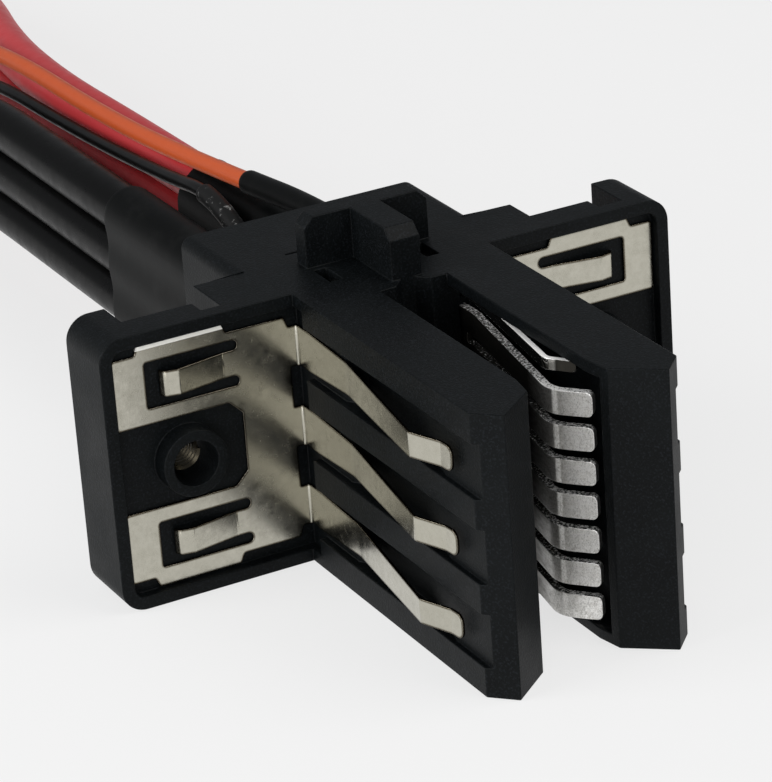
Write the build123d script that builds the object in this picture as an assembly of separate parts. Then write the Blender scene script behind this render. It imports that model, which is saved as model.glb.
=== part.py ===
from build123d import *
import math
import os

# Power input connector of a rack tray: a moulded housing with a bus bar slot, sprung power
# contacts inside it, earthing springs outside it, and a cable harness at the back.
# Millimetres, +Z up. Y runs from the mating nose (minus) to the cables (plus), and the slot is
# centred on X = 0. Sizes are worked out in a frame whose Y = 0 is the flange's front face, and
# every piece is moved by origin_shift at the end, so that the rigid connector stands centred on
# the origin with its underside at Z = 0.

# Housing
height = 40.0  # top and bottom planes are shared by the walls, the flange and the body
slot_half = 5.1  # half the width of the bus bar slot
slot_back = 6.3  # the slot ends this far in front of the flange face
wall_half = 15.2  # outer faces of the two slot walls
nose_reach = 52.0  # the walls end this far in front of the flange face
nose_half = 12.0  # the pointed noses lie at this X
outer_chamfer_reach = 48.7
lead_reach = 47.0  # the inner chamfer of the nose ends here
lead_half = 5.8
lead_start = 43.0
flange_half = 44.0
flange_corner = 3.5
flange_plate = 5.4  # thickness of the flange between its end blocks
flange_depth = 11.0  # the end blocks and the threaded bosses reach this far back
end_block = 6.0  # width of each end block
shoulder_half = 24.8  # stepped body behind the flange
body_half = 18.6
body_back = 28.2
body_edge = 1.8  # rounded long edges of the body's top

# Trays that hold the earthing springs
tray_rim = 1.9
tray_depth = 1.6
sheet = 0.4  # thickness of an earthing spring
spring_seat = 14.0  # X of the seat that a finger's root lies on
root_recess = 2.3  # the seat runs this far forward over the full tray height

# Finger pockets in the outer faces of the walls
finger_inset = 8.1  # from the top and bottom planes to the outer fingers' middles
pocket_height = 7.6
pocket_seat_end = 12.0  # the shallow seat behind the root of a finger ends here
pocket_floor = 12.0  # X of the deep floor that a pressed finger moves into
trough_start = 15.0
trough_end = 29.0
ramp_end = 40.0
run_out = 0.8  # depth of the shallow floor that a finger's foot slides on, out to the nose chamfer

# Threaded bosses
boss_inset = 12.0  # from the flange's end to a boss's axis
boss_radius = 4.8
boss_front = 1.4  # a boss stands this far in front of the flange face
boss_bore = 3.25
insert_start = 2.6
insert_head_radius = 4.3
insert_head = 0.8
thread_radius = 2.1  # minor radius of an M5 thread
fit_gap = 0.05  # clearance between pieces that seat in each other

# Key on the top face
key_half = 9.5
key_front = 6.7
key_back = 9.7
key_rise = 7.3
key_corner = 1.4
key_leg_half = 2.3
key_leg_front = 4.5
key_leg_chamfer = 1.6
left_window_x = -8.05  # small windows over the sense contacts, beside the key's leg
right_window_x = 6.8
window_width = 1.9
window_front = 0.8
window_back = 5.8
window_depth = 4.0
lip_notch_half = 2.7  # notch in the slot's back edge, narrower towards the key
lip_notch_back_half = 1.0
slit_y = 13.2
slit_width = 0.4
slit_depth = 1.0
left_notch_width = 2.8
right_notch_width = 3.8
notch_front = 2.5

# Power and sense contacts
contact_sheet = 1.2
contact_x = 7.5  # middle of the contact plates and of the cables
crest_x = 2.2  # the sprung crests point this far from the slot's middle, before they are rounded
crest_reach = 37.4
tip_rise = 4.5  # the tip curls this far back towards its wall
tip_step = 4.4  # and lies this far in front of the crest
tip_room = 1.0  # clearance in front of the tips
finger_root = 7.5  # the fingers are free in front of this
root_straight = 2.0
contact_bends = (1.5, 4.0)  # radii at the root and at the crest
finger_count = 7
comb_bottom = 1.9
comb_finger = 3.5
comb_space = 1.6  # between the power contact and the sense contact above it
tip_corner = 0.9
sense_sheet = 0.8
sense_inset = 2.1  # from the top plane to the sense contact
sense_finger = 1.6
sense_crest_x = 3.4
sense_crest_reach = 34.8
sense_tip_rise = 3.0
sense_tip_step = 3.6
sense_bends = (1.5, 1.6)
pocket_gap = 0.3  # clearance above and below the contacts
pocket_outer = 9.2  # the contact pockets reach this X inside the walls
channel_gap = 0.15  # clearance on each side of a contact plate in its channel

# Crimp chambers and cables
cable_radius = 3.7
cable_pitch = 7.5
cable_count = 3
core_radius = 2.5  # bare strands
barrel_radius = 3.5
barrel_start = 13.6
barrel_floor = 1.0
barrel_end = 24.0
chamber_front = 12.5
chamber_half = 4.8
relief_inner = 14.0  # cored pockets in the thick sides of the body
relief_outer = 16.8
relief_front = 16.0
relief_margin = 6.0
sleeve_gap = 0.15
sleeve_wall = 0.75
sleeve_start = 25.0
left_sleeve_end = 72.0
right_sleeve_end = 79.0
opening_gap = 0.25  # clearance of a sleeve in the rear cover

# Rear cover and its screws
cover_thickness = 2.6
cover_half = 17.2
cover_margin = 1.8  # the cover stands this far inside the body's top and bottom
cover_corner = 2.0
tab_depth = 2.0
screw_levels = {"lower": 6.6, "upper": height - 5.8}
screw_radius = 1.25
screw_length = 9.0
screw_head_radius = 2.2
screw_head = 1.5
screw_slot = 0.6

# Signal wires, as X and Z where they leave the rear cover
orange_radius = 1.4
orange_x = 6.4
orange_z = height - 4.0
orange_core = 0.8
sense_barrel_radius = 1.5
sense_barrel_start = 15.5
sense_barrel_end = 22.0
black_wire_radius = 1.05
black_wire_x = 0.6
black_wire_z = height / 2 + 1.6
wire_bore_gap = 0.5
wire_bore_start = 21.6  # the thin black wire ends just behind this
wire_hole_gap = 0.2
orange_shrink_end = 57.0
black_shrink_end = 64.0
shrink_gap = 0.05
shrink_wall = 0.4

# Far ends of the harness
lug_radius = 3.6
lug_barrel = 11.0
lug_neck = 5.0
lug_sheet = 1.6
lug_ring = 5.8
lug_hole = 3.2
lug_core = 9.0  # bare strands inside a lug
lug_shrink_back = 6.0
lug_shrink_front = 9.0
plug_width = 10.0
plug_height = 5.6
plug_length = 14.0
plug_socket = 1.9
plug_latch = 1.0
plug_edge = 0.6
latch_margin = 3.0  # the latch stops this far short of the plug's ends
plug_entry = 3.0  # depth of the wires' entries at the back
plug_entry_gap = 0.25

# Earthing spring in its tray
spring_margin = 0.2
spring_lip = 2.2  # the lips reach this near the top and bottom planes
spring_edge = 3.6
lip_inner = 25.0
lip_outer_inset = 6.1  # from the flange's end
lip_slant = 0.6
boss_window_reach = 8.6  # from the boss's axis
boss_window_half = 6.2
boss_window_corner = 1.9
root_height = 5.9
root_window_x = 15.7
tongue_inset = 8.25  # from the top and bottom planes to the tongues' middles
tongue_width = 3.7
tongue_slot = 1.5
tongue_root_reach = 7.8  # from the boss's axis to where a tongue starts
tongue_slot_reach = 5.2  # and on its other side, to the end of the tongue's slot
tongue_crest_reach = 0.8
tongue_fall_reach = 2.6
tongue_tip_reach = 3.0
tongue_crest = 1.3  # crests stand this far in front of the sheet
tongue_fall = 0.9  # and this far where the tip curls back
finger_lift_y = 13.0
finger_crest_x = 17.5
finger_crest_y = 36.4
finger_foot_x = 15.6
finger_foot_y = 41.4
finger_tip_x = 15.4
finger_tip_y = 44.0
finger_mid_half = 2.4
finger_end_half = 1.8
finger_corner = 1.2  # rounded corners of a finger's foot
finger_bends = (0.6, 12.0, 1.0, 1.0)  # radii at the root, at the lift, at the crest and at the foot
tongue_bends = (2.0, 0.8, 0.5)
spring_corner = 0.4  # rounded corners of the blanked sheet

# Cable routes: X, Y and Z of hand-chosen points, from the crimp to the lug, bottom cable first
black_routes = [
    [(-7.5, 24, 12.5), (-7.5, 84, 12.5), (-7.9, 142, 13.0), (-9.0, 198, 6.2), (-10.4, 250, 4.3),
     (-11.0, 300, 4.3)],
    [(-7.5, 24, 20.0), (-7.5, 84, 20.0), (-7.9, 142, 20.5), (-18.2, 198, 13.2), (-22.0, 250, 4.3),
     (-24.0, 300, 4.3)],
    [(-7.5, 24, 27.5), (-7.5, 84, 27.5), (-7.9, 142, 28.0), (-27.4, 198, 20.2), (-33.5, 250, 4.3),
     (-37.0, 300, 4.3)],
]
red_routes = [
    [(7.5, 24, 12.5), (7.5, 90, 12.5), (7.2, 156, 12.0), (9.0, 214, 5.6), (10.6, 268, 4.3),
     (11.0, 318, 4.3)],
    [(7.5, 24, 20.0), (7.5, 90, 20.0), (7.2, 156, 19.5), (18.2, 214, 12.6), (22.0, 268, 4.3),
     (24.0, 318, 4.3)],
    [(7.5, 24, 27.5), (7.5, 90, 27.5), (7.2, 156, 27.0), (27.4, 214, 19.6), (33.5, 268, 4.3),
     (37.0, 318, 4.3)],
]
orange_route = [(orange_x, 22, orange_z), (orange_x, 36, orange_z), (5.5, 60, 33.9), (4.5, 96, 32.4),
                (4.4, 148, 31.2), (3.4, 194, 22.0), (2.2, 240, 8.0), (2.0, 290, 1.7), (2.2, 336, 2.8)]
black_wire_route = [(black_wire_x, 22, black_wire_z), (black_wire_x, 38, 22.4), (1.0, 66, 31.2),
                    (1.6, 104, 28.6), (0.6, 150, 26.0), (-1.4, 196, 14.0), (-2.2, 242, 4.0),
                    (-2.2, 290, 1.4), (-2.2, 336, 2.8)]

mid = height / 2
finger_pitch = mid - finger_inset
tongue_level = mid - tongue_inset
boss_x = flange_half - boss_inset
lip_outer = flange_half - lip_outer_inset
boss_window_x = boss_x - boss_window_reach
tongue_root = boss_x - tongue_root_reach
tongue_end = boss_x + tongue_slot_reach
tongue_crest_x = boss_x + tongue_crest_reach
tongue_fall_x = boss_x + tongue_fall_reach
tongue_tip = boss_x + tongue_tip_reach
rear_face = body_back + cover_thickness
origin_shift = (nose_reach - rear_face - screw_head) / 2
stack_half = cable_pitch * (cable_count - 1) / 2
cable_levels = [mid - stack_half + cable_pitch * i for i in range(cable_count)]
finger_levels = [mid - finger_pitch, mid, mid + finger_pitch]
sense_bottom = height - sense_inset - sense_finger
comb_top = sense_bottom - comb_space
comb_pitch = (comb_top - comb_finger - comb_bottom) / (finger_count - 1)
contact_low = comb_bottom - pocket_gap
contact_high = sense_bottom + sense_finger + pocket_gap
sleeve_radius = cable_radius + sleeve_gap + sleeve_wall


def box(x0, x1, y0, y1, z0, z1):
    """A block between two corners."""
    return Pos((x0 + x1) / 2, (y0 + y1) / 2, (z0 + z1) / 2) * Box(x1 - x0, y1 - y0, z1 - z0)


def plan(points, z0=0.0, z1=height):
    """A plan outline carried straight up from z0 to z1."""
    outline = make_face(Polyline(*points, close=True))
    return extrude(Pos(0, 0, z0) * outline, z1 - z0)


def across(x, y, z):
    """A sketch plane square to Y, with its own X to the right and its own Y up."""
    return Plane((x, y, z), x_dir=(1, 0, 0), z_dir=(0, -1, 0))


def rod(x, z, y0, y1, radius):
    """A round bar along Y."""
    return extrude(across(x, y1, z) * Circle(radius), y1 - y0)


def stadium(x, y0, y1, radius):
    """An upright oval bar along Y that wraps a stack of cables."""
    oval = Rot(0, 0, 90) * SlotCenterToCenter(2 * stack_half, 2 * radius)
    return extrude(across(x, y1, mid) * oval, y1 - y0)


def mirrored(shape):
    """The same shape on the other side of the slot."""
    return mirror(shape, Plane.YZ)


def both(shape):
    """A shape with its mirror image."""
    return shape + mirrored(shape)


def wall():
    """The right slot wall in plan, with its pointed nose."""
    return plan([
        (slot_half, 0),
        (slot_half, -lead_start),
        (lead_half, -lead_reach),
        (nose_half, -nose_reach),
        (wall_half, -outer_chamfer_reach),
        (wall_half, 0),
    ])


def flange():
    """The wide flange with rounded ends and two full-depth end blocks."""
    outline = across(0, flange_depth, mid) * RectangleRounded(2 * flange_half, height, flange_corner)
    hollow = box(shoulder_half, flange_half - end_block, flange_plate, flange_depth, 0, height)
    return extrude(outline, flange_depth) - both(hollow)


def body():
    """The stepped body behind the flange, with the top edges of its rear half rounded."""
    shoulder = box(-shoulder_half, shoulder_half, 0, flange_depth, 0, height)
    rear = box(-body_half, body_half, flange_depth, body_back, 0, height)
    rear = fillet(rear.edges().filter_by(Axis.Y).group_by(Axis.Z)[-1], body_edge)
    closure = box(-slot_half, slot_half, -slot_back, 0, 0, height)
    return shoulder + rear + closure


def tray():
    """The recess in the right half of the flange, and the spring's seat along the wall."""
    recess = box(spring_seat, flange_half - tray_rim, 0, tray_depth, tray_rim, height - tray_rim)
    recess = fillet(recess.edges().filter_by(Axis.Y).group_by(Axis.X)[-1], flange_corner - tray_rim)
    seat = box(spring_seat, wall_half + 1, -root_recess, 0, tray_rim, height - tray_rim)
    return recess + seat


def finger_pocket(level):
    """One pocket in the wall's outer face: seat, deep trough, ramp and shallow run-out."""
    shallow = wall_half - run_out
    return plan([
        (spring_seat, 0),
        (spring_seat, -pocket_seat_end),
        (pocket_floor, -trough_start),
        (pocket_floor, -trough_end),
        (shallow, -ramp_end),
        (shallow, -nose_reach),
        (wall_half + 1, -nose_reach),
        (wall_half + 1, 0),
    ], level - pocket_height / 2, level + pocket_height / 2)


def contact_pocket():
    """Where the right contacts lie: a pocket in the wall, a channel and the crimp chamber."""
    front = crest_reach + tip_step + contact_sheet / 2 + tip_room
    pocket = box(0, pocket_outer, -front, -slot_back, contact_low, contact_high)
    half = contact_sheet / 2 + channel_gap
    channel = box(contact_x - half, contact_x + half, -slot_back, chamber_front, contact_low,
                  comb_top + pocket_gap)
    half = sense_sheet / 2 + channel_gap
    channel += box(contact_x - half, contact_x + half, -slot_back, chamber_front,
                   sense_bottom - pocket_gap, contact_high)
    chamber = box(contact_x - chamber_half, contact_x + chamber_half, chamber_front, body_back,
                  contact_low, contact_high)
    relief = box(relief_inner, relief_outer, relief_front, body_back, relief_margin, height - relief_margin)
    return pocket + channel + chamber + relief


def key():
    """The raised T on the top face that keys the connector in its tray."""
    top = height + key_rise
    bar = box(-key_half, key_half, key_front, key_back, height, top)
    bar = chamfer(bar.edges().filter_by(Axis.Y).group_by(Axis.Z)[-1], key_corner)
    leg = box(-key_leg_half, key_leg_half, -key_leg_front, key_front, height, top)
    leg = chamfer(leg.edges().filter_by(Axis.X).group_by(Axis.Z)[-1].sort_by(Axis.Y)[0], key_leg_chamfer)
    return bar + leg


def top_cuts():
    """The small cuts in the top: lip notch, windows, slit behind the key, and two flange notches."""
    notch = plan([
        (-lip_notch_half, -slot_back),
        (-lip_notch_back_half, -key_leg_front),
        (lip_notch_back_half, -key_leg_front),
        (lip_notch_half, -slot_back),
    ])
    floor = height - window_depth
    windows = [
        box(x - window_width / 2, x + window_width / 2, window_front, window_back, floor, height)
        for x in (left_window_x, right_window_x)
    ]
    slit = box(-key_half, key_half, slit_y, slit_y + slit_width, height - slit_depth, height)
    block = flange_half - end_block
    left = box(-shoulder_half - left_notch_width, -shoulder_half, notch_front, flange_plate, mid, height)
    right = box(block - right_notch_width, block, notch_front, flange_plate, mid, height)
    return notch + windows + slit + left + right


def housing():
    """The one-piece moulding."""
    shape = flange() + body() + both(wall()) + key() + both(rod(boss_x, mid, 0, flange_depth, boss_radius))
    shape -= both(tray())
    for level in finger_levels:
        shape -= both(finger_pocket(level))
    shape += both(rod(boss_x, mid, -boss_front, tray_depth, boss_radius))
    shape -= both(contact_pocket())
    bore = rod(boss_x, mid, -boss_front, flange_depth, boss_bore)
    seat = rod(boss_x, mid, flange_depth - insert_head, flange_depth, insert_head_radius + fit_gap)
    shape -= both(bore + seat)
    shape -= top_cuts()
    for level in screw_levels.values():
        shape -= rod(0, level, rear_face - screw_length, body_back, screw_radius)
    wire_bore = black_wire_radius + wire_bore_gap
    return shape - rod(black_wire_x, black_wire_z, wire_bore_start, body_back, wire_bore)


def threaded_insert():
    """A headed steel insert pressed into the right boss from behind."""
    shank = rod(boss_x, mid, insert_start, flange_depth, boss_bore - fit_gap)
    head = rod(boss_x, mid, flange_depth - insert_head, flange_depth, insert_head_radius)
    return shank + head - rod(boss_x, mid, insert_start, flange_depth, thread_radius)


def spring_sheet():
    """The flat of the right earthing spring, still without its fingers and tongues."""
    outer = flange_half - tray_rim - spring_margin
    lip = mid - spring_lip
    edge = mid - spring_edge
    root = finger_pitch + root_height / 2
    upper = [
        (root_window_x, root),
        (root_window_x + lip_slant, edge),
        (lip_inner, edge),
        (lip_inner + lip_slant, lip),
        (lip_outer, lip),
        (lip_outer + lip_slant, edge),
        (outer, edge),
        (outer, boss_window_half),
        (boss_window_x + boss_window_corner, boss_window_half),
        (boss_window_x, boss_window_half - boss_window_corner),
    ]
    outline = upper + [(x, -z) for x, z in reversed(upper)]
    face = make_face(Polyline(*outline, close=True))
    face = fillet([v for v in face.vertices() if v.X > boss_window_x - spring_corner], spring_corner)
    half = tongue_width / 2 + tongue_slot
    length = tongue_end - tongue_root
    window = Rectangle(length, 2 * half)
    window = fillet(window.vertices().group_by(Axis.X)[-1], spring_corner)
    for level in (-tongue_level, tongue_level):
        face -= Pos(tongue_root + length / 2, level) * window
        for side in (-1, 1):
            leg = level + side * (half - tongue_slot / 2)
            face -= Pos(tongue_root, leg) * Circle(tongue_slot / 2)
    return extrude(across(0, tray_depth, mid) * face, sheet)


def spring_tongue(level):
    """One contact tongue, bent out of the sheet to a crest, with its tip curled back."""
    y = tray_depth - sheet / 2
    line = FilletPolyline((tongue_root - tongue_slot, y), (tongue_root + tongue_slot, y),
                          (tongue_crest_x, y - tongue_crest), (tongue_fall_x, y - tongue_fall),
                          (tongue_tip, y), radius=tongue_bends)
    strip = extrude(trace(line, sheet), tongue_width)
    return Pos(0, 0, mid + level - tongue_width / 2) * strip


def spring_finger(level):
    """One long finger: it turns forward along the wall and rises to its crest, then to its foot."""
    x = spring_seat + sheet / 2
    y = tray_depth - sheet / 2
    line = FilletPolyline((root_window_x, y), (x, y), (x, -finger_lift_y), (finger_crest_x, -finger_crest_y),
                          (finger_foot_x, -finger_foot_y), (finger_tip_x, -finger_tip_y),
                          radius=finger_bends)
    strip = Pos(0, 0, level - root_height / 2) * extrude(trace(line, sheet), root_height)
    half = root_height / 2
    end = fit_gap - finger_tip_y
    side = [(tray_depth, half), (-root_recess, half), (-finger_lift_y, finger_mid_half),
            (-finger_crest_y, finger_end_half), (end, finger_end_half)]
    side += [(y, -z) for y, z in reversed(side)]
    taper = make_face(Polyline(*side, close=True))
    taper = fillet(taper.vertices().group_by(Axis.X)[0], finger_corner)
    sideways = Plane((0, 0, level), x_dir=(0, 1, 0), z_dir=(1, 0, 0))
    return strip & extrude(sideways * taper, flange_half)


def earthing_spring():
    """The right earthing spring, folded from one stainless sheet."""
    shape = spring_sheet()
    for level in (-tongue_level, tongue_level):
        shape += spring_tongue(level)
    root = root_window_x + sheet
    y0 = tray_depth - sheet
    for level in finger_levels:
        low = level - root_height / 2
        shape += box(root_window_x - sheet, root, y0, tray_depth, low, low + root_height)
        shape += spring_finger(level)
    return shape


def contact_finger(bottom, tall, thick, crest, tip, bends):
    """One sprung finger of a contact: long incline, crest near the bar, and lead-out to a tip."""
    line = FilletPolyline((contact_x, root_straight - finger_root), (contact_x, -root_straight - finger_root),
                          crest, tip, radius=bends)
    strip = Pos(0, 0, bottom) * extrude(trace(line, thick), tall)
    end = strip.faces().sort_by(Axis.Y)[0]
    corners = [e for e in end.edges() if abs(e.length - thick) < fit_gap]
    return fillet(corners, min(tip_corner, tall / 2 - fit_gap))


def power_contact():
    """The right power contact: a plate with seven fingers and one crimp barrel for each cable."""
    half = contact_sheet / 2
    plate_end = barrel_start + barrel_floor
    crest = (crest_x + half, -crest_reach)
    tip = (crest_x + tip_rise, -crest_reach - tip_step)
    shape = box(contact_x - half, contact_x + half, -finger_root, plate_end, comb_bottom, comb_top)
    for i in range(finger_count):
        shape += contact_finger(comb_bottom + comb_pitch * i, comb_finger, contact_sheet, crest, tip,
                                contact_bends)
    for level in cable_levels:
        shape += rod(contact_x, level, barrel_start, barrel_end, barrel_radius)
    for level in cable_levels:
        shape -= rod(contact_x, level, plate_end, barrel_end, core_radius + fit_gap)
    return shape


def sense_contact():
    """The narrow contact above the right power contact: one finger on a plain plate."""
    half = sense_sheet / 2
    top = sense_bottom + sense_finger
    plate_end = sense_barrel_start + barrel_floor
    crest = (sense_crest_x + half, -sense_crest_reach)
    tip = (sense_crest_x + sense_tip_rise, -sense_crest_reach - sense_tip_step)
    shape = box(contact_x - half, contact_x + half, -finger_root, plate_end, sense_bottom, top)
    return shape + contact_finger(sense_bottom, sense_finger, sense_sheet, crest, tip, sense_bends)


def wired_sense_contact():
    """The right sense contact, with the small crimp that takes the orange wire."""
    bore = orange_core + fit_gap
    start = sense_barrel_start
    shape = sense_contact() + rod(orange_x, orange_z, start, sense_barrel_end, sense_barrel_radius)
    return shape - rod(orange_x, orange_z, start + barrel_floor, sense_barrel_end, bore)


def rear_cover():
    """The cover that keeps the contacts in, with tabs that locate in the body's cored pockets."""
    rise = height - 2 * cover_margin
    outline = RectangleRounded(2 * cover_half, rise, cover_corner)
    shape = extrude(across(0, rear_face, mid) * outline, cover_thickness)
    tab = box(relief_inner + channel_gap, relief_outer - channel_gap, body_back - tab_depth, body_back,
              relief_margin + channel_gap, height - relief_margin - channel_gap)
    shape += both(tab)
    shape -= both(stadium(contact_x, body_back, rear_face, sleeve_radius + opening_gap))
    shape -= rod(orange_x, orange_z, body_back, rear_face, orange_radius + wire_hole_gap)
    shape -= rod(black_wire_x, black_wire_z, body_back, rear_face, black_wire_radius + wire_bore_gap)
    for level in screw_levels.values():
        shape -= rod(0, level, body_back, rear_face, screw_radius + fit_gap)
    return shape


def cover_screw(level):
    """A slotted pan-head screw through the cover into the body's middle web."""
    shank = rod(0, level, rear_face - screw_length, rear_face, screw_radius - fit_gap)
    head = rod(0, level, rear_face, rear_face + screw_head, screw_head_radius)
    rim = head.edges().filter_by(GeomType.CIRCLE).sort_by(Axis.Y)[-1]
    head = fillet(rim, screw_head / 2)
    slot = box(-screw_head_radius, screw_head_radius, rear_face + screw_head / 2, rear_face + screw_head,
               level - screw_slot / 2, level + screw_slot / 2)
    return shank + head - slot


def sleeve(side, end):
    """The shrunk sleeve over one stack of cables."""
    x = side * contact_x
    outer = stadium(x, sleeve_start, end, sleeve_radius)
    return outer - stadium(x, sleeve_start, end, cable_radius + sleeve_gap)


def route_line(points, name=None):
    """A wire of straight runs and tangent arcs, each arc as large as its two runs allow."""
    spots = [Vector(*p) for p in points]
    radii = []
    for a, b, c in zip(spots, spots[1:], spots[2:]):
        turn = (b - a).get_angle(c - b)
        shorter = min((b - a).length, (c - b).length)
        radii.append(0.45 * shorter / math.tan(math.radians(turn) / 2))
    line = FilletPolyline(*spots, radius=radii)
    if name:
        print(name, "length", round(line.length, 1), "radii", [round(r) for r in radii])
    return line


def tube(line, radius):
    """A round solid along a route."""
    start = Plane(origin=line @ 0, z_dir=line % 0)
    solid = sweep(start * Circle(radius), path=line)
    print("volume over section times length", round(solid.volume / (math.pi * radius**2 * line.length), 5))
    return solid


def end_plane(line):
    """The plane square to a route's far end, its own X level and its own Y up."""
    along = line % 1
    return Plane(origin=line @ 1, x_dir=Vector(0, 0, 1).cross(along), z_dir=along)


def cable(points, name):
    """A power cable with bare strands at both ends, in the contact's barrel and in the lug."""
    line = route_line(points, name)
    x, y, z = points[0]
    strands = rod(x, z, barrel_start + barrel_floor, barrel_end, core_radius)
    return strands + tube(line, cable_radius) + extrude(end_plane(line) * Circle(core_radius), lug_core)


def ring_lug(points):
    """A ring lug on a cable's end: barrel, pressed neck and a flat ring with its hole."""
    end = end_plane(route_line(points))
    barrel = extrude(Circle(lug_radius), lug_barrel) - extrude(Circle(core_radius + fit_gap), lug_core)
    drop = lug_radius - lug_sheet / 2
    flat = Pos(0, -drop) * Rectangle(2 * lug_ring, lug_sheet)
    neck = loft([Plane((0, 0, lug_barrel)) * Circle(lug_radius),
                 Plane((0, 0, lug_barrel + lug_neck)) * flat])
    start = lug_barrel + lug_neck
    tongue = extrude(Plane((0, 0, start)) * flat, lug_ring)
    ring = Plane((0, -drop - lug_sheet / 2, start + lug_ring), x_dir=(1, 0, 0), z_dir=(0, 1, 0))
    disc = extrude(ring * Circle(lug_ring), lug_sheet) - extrude(ring * Circle(lug_hole), lug_sheet)
    tongue -= extrude(ring * Circle(lug_hole), lug_sheet)
    return end * (barrel + neck + tongue + disc)


def lug_shrink(points):
    """The short shrunk tube over a cable's end and its lug's barrel."""
    end = end_plane(route_line(points))
    ring = Circle(cable_radius + shrink_gap + shrink_wall) - Circle(cable_radius + shrink_gap)
    return end * Pos(0, 0, -lug_shrink_back) * extrude(ring, lug_shrink_back + lug_shrink_front)


def wire_shrink(points, radius, end):
    """The shrunk tube over a signal wire where it leaves the rear cover."""
    line = route_line(points)
    inner = radius + shrink_gap
    stretch = box(-shoulder_half, shoulder_half, rear_face, end, 0, height + key_rise)
    return (tube(line, inner + shrink_wall) - tube(line, inner)) & stretch


def signal_plug():
    """The two-way plug on the signal wires: a small box with sockets and a latch ridge."""
    y0 = orange_route[-1][1] - plug_entry
    y1 = y0 + plug_length
    half = plug_width / 2
    shape = box(-half, half, y0, y1, 0, plug_height)
    shape = fillet(shape.edges().filter_by(Axis.Y), plug_edge)
    for route, radius in ((orange_route, orange_radius), (black_wire_route, black_wire_radius)):
        x, _, z = route[-1]
        shape -= rod(x, z, y0, y0 + plug_entry + plug_entry_gap, radius + plug_entry_gap)
        shape -= box(x - plug_socket / 2, x + plug_socket / 2, y1 - plug_length / 2, y1,
                     z - plug_socket / 2, z + plug_socket / 2)
    latch = box(-plug_socket, plug_socket, y0 + latch_margin, y1 - latch_margin, plug_height,
                plug_height + plug_latch)
    return shape + latch


def sense_lead():
    """The orange wire, with its bare end in the sense contact's crimp."""
    strands = rod(orange_x, orange_z, sense_barrel_start + barrel_floor, sense_barrel_end, orange_core)
    return strands + tube(route_line(orange_route, "orange_wire"), orange_radius)


def build():
    """Every node, by name."""
    nodes = {"housing": housing(), "rear_cover": rear_cover()}
    for name, level in screw_levels.items():
        nodes[f"cover_screw_{name}"] = cover_screw(level)
    paired = {
        "earthing_spring": earthing_spring(),
        "power_contact": power_contact(),
        "threaded_insert": threaded_insert(),
    }
    for name, shape in paired.items():
        nodes[name + "_right"] = shape
        nodes[name + "_left"] = mirrored(shape)
    nodes["sense_contact_right"] = wired_sense_contact()
    nodes["sense_contact_left"] = mirrored(sense_contact())
    nodes["black_sleeve"] = sleeve(-1, left_sleeve_end)
    nodes["red_sleeve"] = sleeve(1, right_sleeve_end)
    for colour, routes in (("black", black_routes), ("red", red_routes)):
        for i, points in enumerate(routes):
            nodes[f"{colour}_cable_{i + 1}"] = cable(points, f"{colour}_cable_{i + 1}")
            nodes[f"{colour}_lug_{i + 1}"] = ring_lug(points)
            nodes[f"{colour}_lug_shrink_{i + 1}"] = lug_shrink(points)
    nodes["orange_wire"] = sense_lead()
    nodes["black_wire"] = tube(route_line(black_wire_route, "black_wire"), black_wire_radius)
    nodes["orange_wire_shrink"] = wire_shrink(orange_route, orange_radius, orange_shrink_end)
    nodes["black_wire_shrink"] = wire_shrink(black_wire_route, black_wire_radius, black_shrink_end)
    nodes["signal_plug"] = signal_plug()
    return {name: Pos(0, origin_shift, 0) * shape for name, shape in nodes.items()}


os.makedirs("parts", exist_ok=True)
for node, solid in build().items():
    export_step(solid, f"parts/{node}.step")
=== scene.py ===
import math

import bpy
from mathutils import Matrix, Vector


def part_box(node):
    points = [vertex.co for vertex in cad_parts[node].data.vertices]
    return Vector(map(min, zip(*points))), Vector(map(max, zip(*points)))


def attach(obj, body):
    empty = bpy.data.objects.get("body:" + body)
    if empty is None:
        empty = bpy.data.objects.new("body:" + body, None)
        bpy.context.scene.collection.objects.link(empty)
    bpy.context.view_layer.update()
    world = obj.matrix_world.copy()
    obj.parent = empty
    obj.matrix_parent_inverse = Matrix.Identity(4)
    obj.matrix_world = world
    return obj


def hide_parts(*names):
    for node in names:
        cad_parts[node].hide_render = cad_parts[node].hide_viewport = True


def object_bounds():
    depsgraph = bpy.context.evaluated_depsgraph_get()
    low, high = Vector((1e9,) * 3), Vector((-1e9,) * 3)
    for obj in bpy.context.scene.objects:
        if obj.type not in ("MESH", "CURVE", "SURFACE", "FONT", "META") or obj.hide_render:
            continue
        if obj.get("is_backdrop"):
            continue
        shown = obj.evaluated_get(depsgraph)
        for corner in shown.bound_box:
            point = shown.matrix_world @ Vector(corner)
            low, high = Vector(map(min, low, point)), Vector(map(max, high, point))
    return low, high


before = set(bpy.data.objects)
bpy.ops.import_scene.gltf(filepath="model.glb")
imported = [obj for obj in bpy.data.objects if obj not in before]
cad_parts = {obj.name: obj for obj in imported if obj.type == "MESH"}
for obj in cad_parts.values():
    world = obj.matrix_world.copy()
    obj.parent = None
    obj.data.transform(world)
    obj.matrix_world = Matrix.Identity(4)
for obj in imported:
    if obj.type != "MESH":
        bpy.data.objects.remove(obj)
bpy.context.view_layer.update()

# Housing: one injection moulding in black glass-filled polyester, with the slot walls, trays,
# finger pockets, bosses and key. Its edges are broken by small radii, and its walls are
# spark-eroded, which leaves a fine matte grain with a faint flow of glass fibres in it.
MM = 0.001
SAME_SPOT = 0.002 * MM  # loose corners of the CAD's triangles are merged within this
FLAT_TURN = 0.6  # degrees by which the triangles of one flat face may differ
SHARPEST = 32  # degrees, so that only an edge that turns further is rounded
HOUSING_EDGE = 0.18 * MM
HOUSING_BLACK = "#050708"
HOUSING_GREY = "#0B0E0F"
HOUSING_SCUFF = "#3A3A39"
HOUSING_POCK = "#16191C"
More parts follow.
